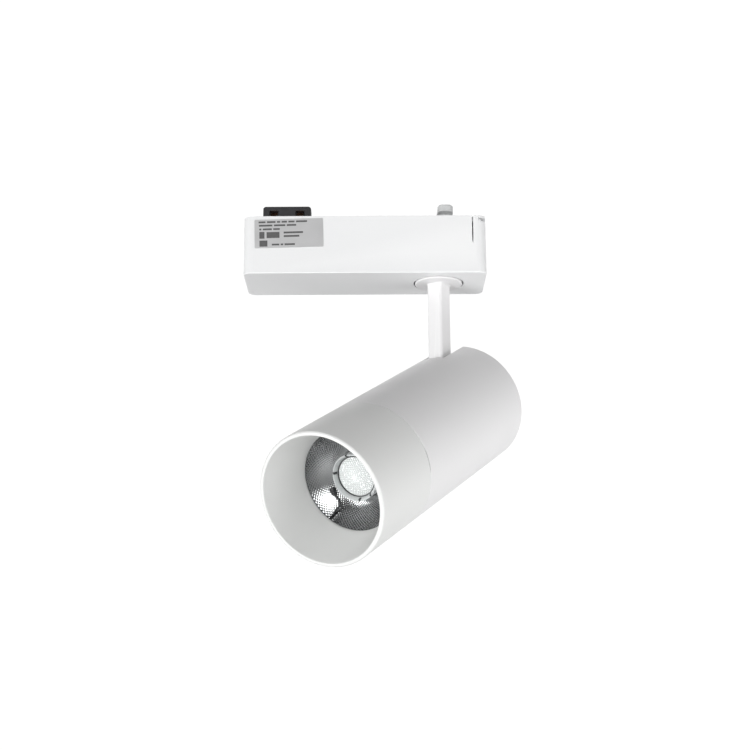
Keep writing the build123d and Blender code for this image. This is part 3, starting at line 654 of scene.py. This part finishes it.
BEZEL_BORE, BEZEL_RADIUS, BEZEL_BACK = 9.2, 10.8, 62.3
MOUTH_BACK, MOUTH_FRONT = 83.2, 86.1
TAB_ANGLES = (96, 162, 268, 305)
TAB_HALF_WIDTH = 0.5
TAB_EASE = 0.08

PLUG_PLACE = (-12.75, -5.0, 0)
PLUG_TURN = 12
PLUG_BACK, PLUG_FRONT = 84.8, 86.35
PLUG_EASING = 0.12
# Each part of the plug: its middle along the plug, its length, and its share of the full width.
PLUG_PARTS = [(0.75, 2.1, 1.0), (-0.85, 0.9, 0.8), (-1.55, 0.6, 0.55)]

WINDOW_RADIUS, WINDOW_BACK, WINDOW_FRONT = 26.6, 87.6, 88.6


def front_tube():
    """The front tube, turned with softly rounded edges."""
    outline = [(SPIGOT_RADIUS, SPIGOT_END), (SPIGOT_RADIUS, TUBE_BACK), (TUBE_RADIUS, TUBE_BACK)]
    outline += [(TUBE_RADIUS, TUBE_FRONT - RIM_CHAMFER), (TUBE_RADIUS - RIM_CHAMFER, TUBE_FRONT)]
    outline += [(28.4, TUBE_FRONT), (28.1, TUBE_FRONT - 0.3)]
    outline += [(LIP_RADIUS, LIP_FRONT), (LIP_RADIUS, LIP_BACK)]
    outline += [(COVER_SEAT_RADIUS, LIP_BACK), (COVER_SEAT_RADIUS, LIP_FRONT), (TUBE_BORE, 105.4)]
    outline += [(TUBE_BORE, TUBE_BACK + 2.0), (SPIGOT_BORE, TUBE_BACK), (SPIGOT_BORE, SPIGOT_END)]
    work = lathe(rounded(outline, TUBE_EASING), FRONT_SEGMENTS)
    new_piece("front_shroud", mesh_from(work, "front_shroud", HEAD), "head", "white_front", "front_tube")


def arc_through(first, second, third):
    """A function from 0..1 to points on the arc through three points."""
    (ax, ay), (bx, by), (cx, cy) = first, second, third
    scale = 2 * (ax * (by - cy) + bx * (cy - ay) + cx * (ay - by))
    squares = [x * x + y * y for x, y in (first, second, third)]
    centre_x = (squares[0] * (by - cy) + squares[1] * (cy - ay) + squares[2] * (ay - by)) / scale
    centre_y = (squares[0] * (cx - bx) + squares[1] * (ax - cx) + squares[2] * (bx - ax)) / scale
    radius = hypot(ax - centre_x, ay - centre_y)
    start = atan2(ay - centre_y, ax - centre_x)
    end = atan2(cy - centre_y, cx - centre_x)

    def point(share):
        angle = start + (end - start) * share
        return centre_x + radius * cos(angle), centre_y + radius * sin(angle), cos(angle), sin(angle)
    return point


def facet_height(sum_step, row_step):
    """How far a point stands proud of the dish: a pillow in each diamond cell."""
    if (sum_step + row_step) % 2:
        return 0.0
    first = ((sum_step + row_step) // 2 % FACET_STEPS) / FACET_STEPS
    second = ((sum_step - row_step) // 2 % FACET_STEPS) / FACET_STEPS
    return FACET_RISE * (1 - (2 * first - 1) ** 2) * (1 - (2 * second - 1) ** 2)


def dish_vertex(work, made, arc, sum_step, row_step):
    """A vertex of the faceted wall, made once."""
    steps_round = 2 * FACETS_AROUND * FACET_STEPS
    rows = 2 * FACET_ROWS * FACET_STEPS
    key = (sum_step % steps_round, max(0, min(rows, row_step)))
    if key not in made:
        angle = FULL_TURN * key[0] / steps_round
        radius, station, out_radius, out_station = arc(key[1] / rows)
        rise = facet_height(*key)
        radius -= out_radius * rise
        station -= out_station * rise
        made[key] = work.verts.new((radius * cos(angle), radius * sin(angle), station))
    return made[key]


def faceted_wall():
    """The dish's front, in rows of small diamond pillows."""
    work = bmesh.new()
    made = {}
    arc = arc_through(DISH_BASE, DISH_MIDDLE, DISH_MOUTH)
    for sum_step in range(2 * FACETS_AROUND * FACET_STEPS):
        for row_step in range(2 * FACET_ROWS * FACET_STEPS + 1):
            if (sum_step + row_step) % 2:
                continue
            corners = []
            for ahead, up in ((0, 0), (1, 1), (2, 0), (1, -1)):
                vertex = dish_vertex(work, made, arc, sum_step + ahead, row_step + up)
                if vertex not in corners:
                    corners.append(vertex)
            if len(corners) > 2:
                work.faces.new(corners)
    return work


def reflector():
    """The metallised dish with small pillows on its front, and a rim flange notched for the lead."""
    work = faceted_wall()
    back_arc = arc_through(DISH_BACK_MOUTH, DISH_BACK_MIDDLE, DISH_BACK_BASE)
    flange_back = DISH_BACK_MOUTH[1]
    outline = [DISH_MOUTH, (DISH_RIM_RADIUS, DISH_MOUTH[1]), (DISH_RIM_RADIUS, flange_back)]
    outline += [back_arc(step / DISH_BACK_STEPS)[:2] for step in range(DISH_BACK_STEPS + 1)]
    outline.append(DISH_BASE)
    shell = lathe(outline, 2 * FACETS_AROUND * FACET_STEPS, closed=False)
    back = bpy.data.meshes.new("dish_back")
    shell.to_mesh(back)
    shell.free()
    work.from_mesh(back)
    dish = mesh_from(work, "reflector_cup", HEAD)
    dish = cut(dish, [prism(NOTCH, NOTCH_HALF_WIDTH, turned_head(LEAD_ANGLE))])
    new_piece("reflector_cup", dish, "head", "silver", "reflector", smooth_angle=8)


def prism(outline, half_width, matrix):
    """A mesh of an (x, z) outline, extruded half_width to each side along y."""
    work = bmesh.new()
    near = [work.verts.new((x, -half_width, z)) for x, z in outline]
    far = [work.verts.new((x, half_width, z)) for x, z in outline]
    work.faces.new(near)
    work.faces.new(list(reversed(far)))
    for step in range(len(outline)):
        after = (step + 1) % len(outline)
        work.faces.new((near[after], near[step], far[step], far[after]))
    return mesh_from(work, "prism", matrix)


def cut(mesh, cutters):
    """A mesh with other meshes taken away from it."""
    modifiers = []
    tools = []
    for cutter in cutters:
        tool = bpy.data.objects.new("cutter", cutter)
        bpy.context.scene.collection.objects.link(tool)
        tools.append(tool)
        modifiers.append(("BOOLEAN", {"object": tool, "operation": "DIFFERENCE", "solver": "EXACT"}))
    result = applied(mesh, modifiers)
    for tool in tools:
        bpy.data.objects.remove(tool)
    return result


def turned_head(degrees):
    """The head's frame, turned about its axis."""
    return HEAD @ Matrix.Rotation(radians(degrees), 4, "Z")


def bead_height(x, y):
    """The height of a hexagonal field of small round beads, which stand taller towards the lens's edge."""
    row_gap = BEAD_PITCH * sqrt(3) / 2
    row = round(y / row_gap)
    nearest = BEAD_PITCH
    for near_row in (row - 1, row, row + 1):
        shift = 0.5 * BEAD_PITCH * (near_row % 2)
        column = round((x - shift) / BEAD_PITCH)
        nearest = min(nearest, hypot(x - shift - column * BEAD_PITCH, y - near_row * row_gap))
    rise = BEAD_RISE * (MIDDLE_BEADS + (1 - MIDDLE_BEADS) * (hypot(x, y) / LENS_RADIUS) ** 2)
    return rise * max(0.0, 1 - (nearest / (BEAD_REACH * BEAD_PITCH)) ** 2)


def dome_height(x, y):
    """The height of the lens's beaded dome, a part of a ball."""
    ball_radius = (LENS_RADIUS ** 2 + DOME_RISE ** 2) / (2 * DOME_RISE)
    drop = ball_radius - sqrt(ball_radius ** 2 - x ** 2 - y ** 2)
    return DOME_TOP - BEAD_RISE - drop + bead_height(x, y)


def beaded_lens():
    """The central lens with its domed front covered in fine beads."""
    work = bmesh.new()
    rings = []
    for step in range(DOME_RINGS):
        radius = BEADS_RADIUS * (step + 1) / DOME_RINGS
        rings.append(ring_of(work, radius, LENS_SEGMENTS, dome_height))
    for radius, station in LENS_BODY:
        rings.append(ring_of(work, radius, LENS_SEGMENTS, lambda x, y: station))
    for before, after in zip(rings, rings[1:]):
        bridge(work, before, after)
    for station, ring in ((DOME_TOP, rings[0]), (LENS_BACK + LENS_HOLLOW, rings[-1])):
        point = work.verts.new((0, 0, station))
        for step in range(LENS_SEGMENTS):
            work.faces.new((ring[step], ring[(step + 1) % LENS_SEGMENTS], point))
    lens = mesh_from(work, "beaded_lens", HEAD)
    new_piece("beaded_lens", lens, "head", "pearl_lens", "lens", smooth_angle=50)


def lens_bezel():
    """The bezel round the lens: a grey flared mouth on a sleeve, and a dark seal with tabs in the notches."""
    mouth = [(BEZEL_BORE, MOUTH_BACK), (BEZEL_RADIUS, MOUTH_BACK), (BEZEL_RADIUS, MOUTH_FRONT - 0.2)]
    mouth += [(BEZEL_RADIUS - 0.2, MOUTH_FRONT), (BEZEL_BORE + 1.0, MOUTH_FRONT), (BEZEL_BORE, 83.9)]
    ring = mesh_from(lathe(rounded(mouth, 0.12), FRONT_SEGMENTS), "bezel_mouth", HEAD)
    gap = [(9.0, 84.0), (11.2, 84.0), (11.2, 86.6), (9.0, 86.6)]
    ring = cut(ring, [prism(gap, TAB_HALF_WIDTH + TAB_EASE, turned_head(angle)) for angle in TAB_ANGLES])
    new_piece("bezel_mouth", ring, "head", "grey_plastic", "lens_barrel")
    wall_front = MOUTH_BACK - 0.05
    wall = [(BEZEL_BORE, BEZEL_BACK), (BEZEL_RADIUS, BEZEL_BACK), (BEZEL_RADIUS, wall_front)]
    wall.append((BEZEL_BORE, wall_front))
    sleeve = mesh_from(lathe(rounded(wall, 0.15), FRONT_SEGMENTS), "bezel_sleeve", HEAD)
    new_piece("bezel_sleeve", sleeve, "head", "grey_plastic", "lens_barrel")
    tab = [(9.55, 84.05), (10.75, 84.05), (10.75, 85.6), (10.3, 85.95), (9.95, 85.95), (9.55, 85.2)]
    seal = lathe([(8.93, 82.9), (9.17, 82.9), (9.17, 84.2), (8.93, 84.2)], FRONT_SEGMENTS)
    meshes = [mesh_from(seal, "bezel_seal", HEAD)]
    meshes += [prism(tab, TAB_HALF_WIDTH, turned_head(angle)) for angle in TAB_ANGLES]
    new_piece("bezel_seal", joined(meshes), "head", "dark_plastic", "lens_barrel")


def joined(meshes):
    """One mesh made of several."""
    work = bmesh.new()
    for mesh in meshes:
        work.from_mesh(mesh)
    result = bpy.data.meshes.new("joined")
    work.to_mesh(result)
    work.free()
    return result


def lead_plug():
    """The small plug beside the bezel: a body, two narrower steps behind it and its two pin windows."""
    matrix = HEAD @ Matrix.Translation(PLUG_PLACE) @ Matrix.Rotation(radians(PLUG_TURN), 4, "Z")
    shoulder = PLUG_FRONT - 0.25
    body = [(-1.15, PLUG_BACK), (1.15, PLUG_BACK), (1.15, shoulder), (0.9, PLUG_FRONT)]
    body += [(-0.9, PLUG_FRONT), (-1.15, shoulder)]
    meshes = []
    for centre, length, share in PLUG_PARTS:
        outline = [(x * share, z) for x, z in body]
        meshes.append(prism(outline, length / 2, matrix @ Matrix.Translation((0, centre, 0))))
    low, high = PLUG_FRONT - 0.05, PLUG_FRONT + 0.1
    for x in (-0.55, 0.55):
        window = [(x - 0.22, low), (x + 0.22, low), (x + 0.22, high), (x - 0.22, high)]
        meshes.append(prism(window, 0.55, matrix @ Matrix.Translation((0, 0.9, 0))))
    plug = applied(joined(meshes), [("BEVEL", {"width": PLUG_EASING * MM, "segments": 2})])
    new_piece("lead_plug", plug, "head", "black_wire", "lead_connector")


def clear_window():
    """The clear disc over the optic, as one sheet: its polished front and its rim, without a back face."""
    outline = [(WINDOW_RADIUS, WINDOW_BACK), (WINDOW_RADIUS, WINDOW_FRONT), (0.0, WINDOW_FRONT)]
    work = lathe(rounded(outline, 0.15), FRONT_SEGMENTS, closed=False)
    new_piece("clear_window", mesh_from(work, "clear_window", HEAD), "head", "clear", "clear_cover")


# ---- The scene ----

FINISHES = make_materials()
make_camera()
make_world()
make_floor()
make_lights()
slots = dress_cad_nodes()
ease_shells(slots)
front_tube()
reflector()
beaded_lens()
lens_bezel()
lead_plug()
clear_window()
label_print()

bpy.context.scene.view_settings.view_transform = "Standard"
